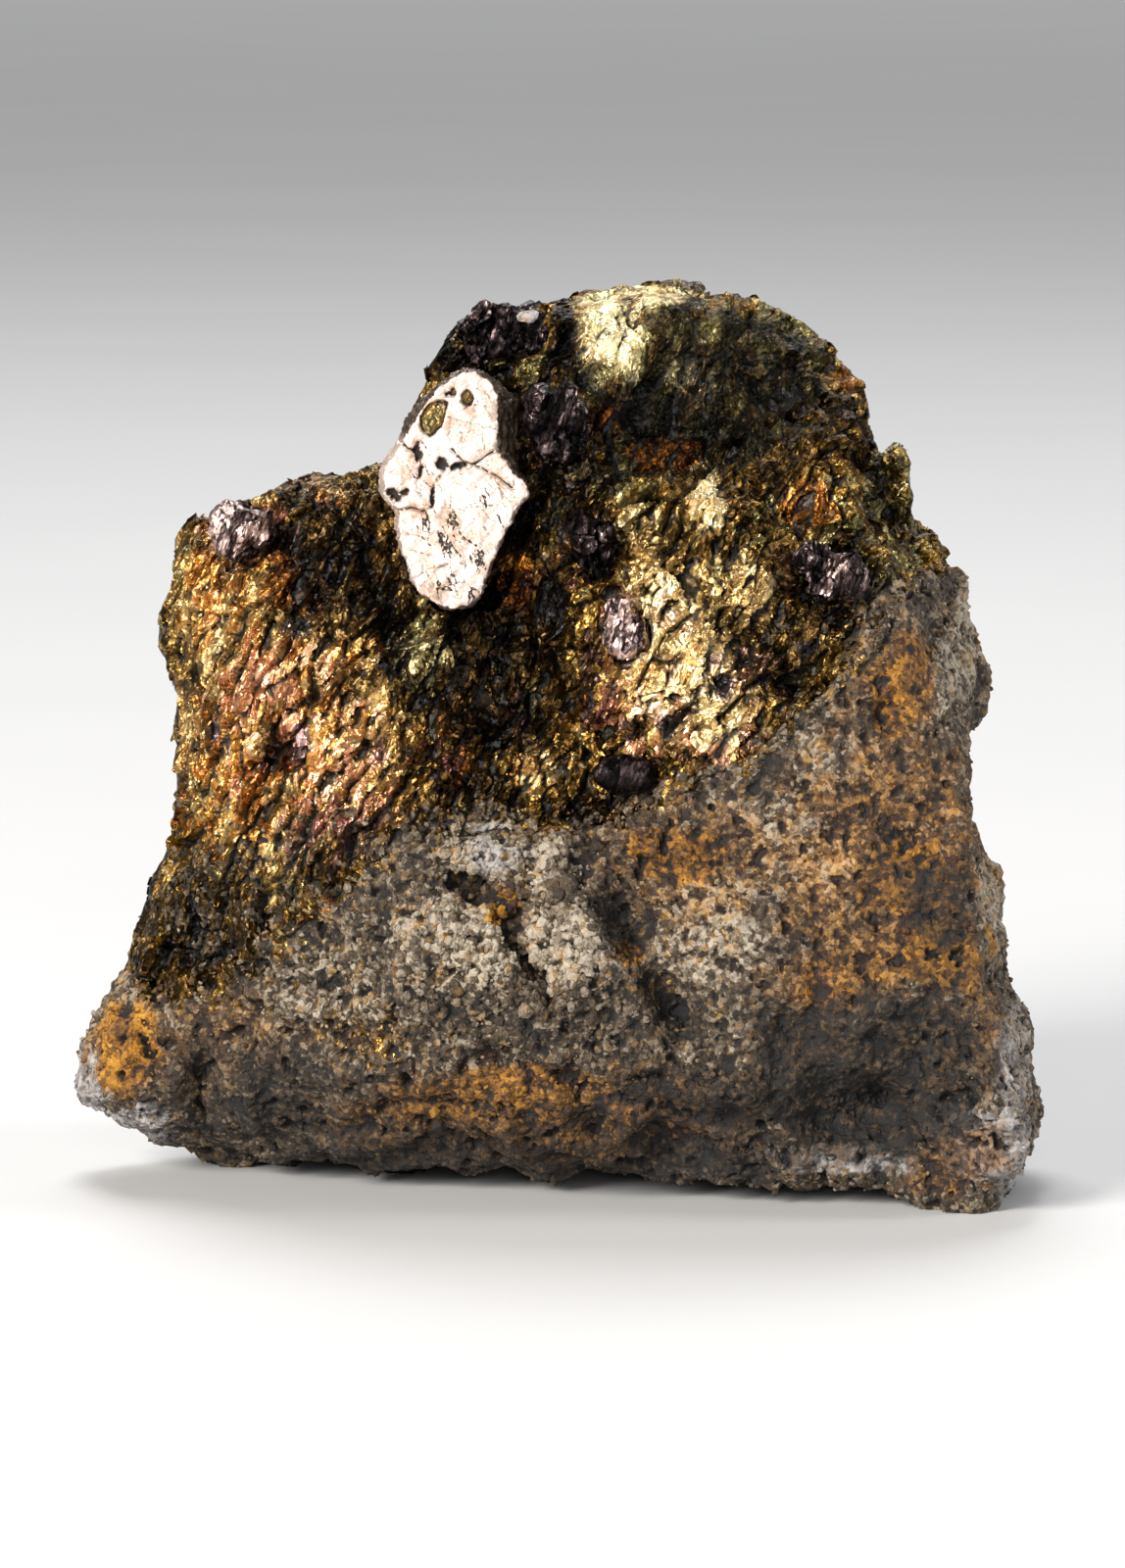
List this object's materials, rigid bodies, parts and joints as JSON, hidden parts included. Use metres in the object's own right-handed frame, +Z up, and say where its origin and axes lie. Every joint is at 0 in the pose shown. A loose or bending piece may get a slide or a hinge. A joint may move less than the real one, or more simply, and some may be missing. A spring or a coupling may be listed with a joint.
{
  "type": "arsenohauchecornite on chalcopyrite mineral specimen",
  "caption": "Broken hand specimen of foliated chalcopyrite on granular gangue, with a tabular arsenohauchecornite crystal and small grains set in its face.",
  "frame": {"origin": "middle of the base, where the lowest feet of the specimen touch the surface", "axes": "+X across the specimen to the right of its display face, +Y from the display face to the back, +Z up"},
  "size_m": [0.0402, 0.0244, 0.0374],
  "materials": {
    "gangue": "rough granular grey gangue with rust stains",
    "chalcopyrite": "brassy metallic foliated ore with orange, pink and purple tarnish",
    "bright_arsenohauchecornite": "pale pinkish metallic crystal face, finely scratched and cracked",
    "dark_arsenohauchecornite": "dark purple-silver metallic grains"
  },
  "bodies": {
    "root": {"gangue_rock": "gangue", "chalcopyrite_mass": "chalcopyrite", "arsenohauchecornite_crystal": "bright_arsenohauchecornite", "arsenohauchecornite_beside_crystal": "dark_arsenohauchecornite", "arsenohauchecornite_middle": "dark_arsenohauchecornite", "arsenohauchecornite_pink": "dark_arsenohauchecornite", "arsenohauchecornite_dark_oval": "dark_arsenohauchecornite", "arsenohauchecornite_top": "dark_arsenohauchecornite", "arsenohauchecornite_shoulder": "dark_arsenohauchecornite", "arsenohauchecornite_right": "dark_arsenohauchecornite"}
  },
  "joints": []
}
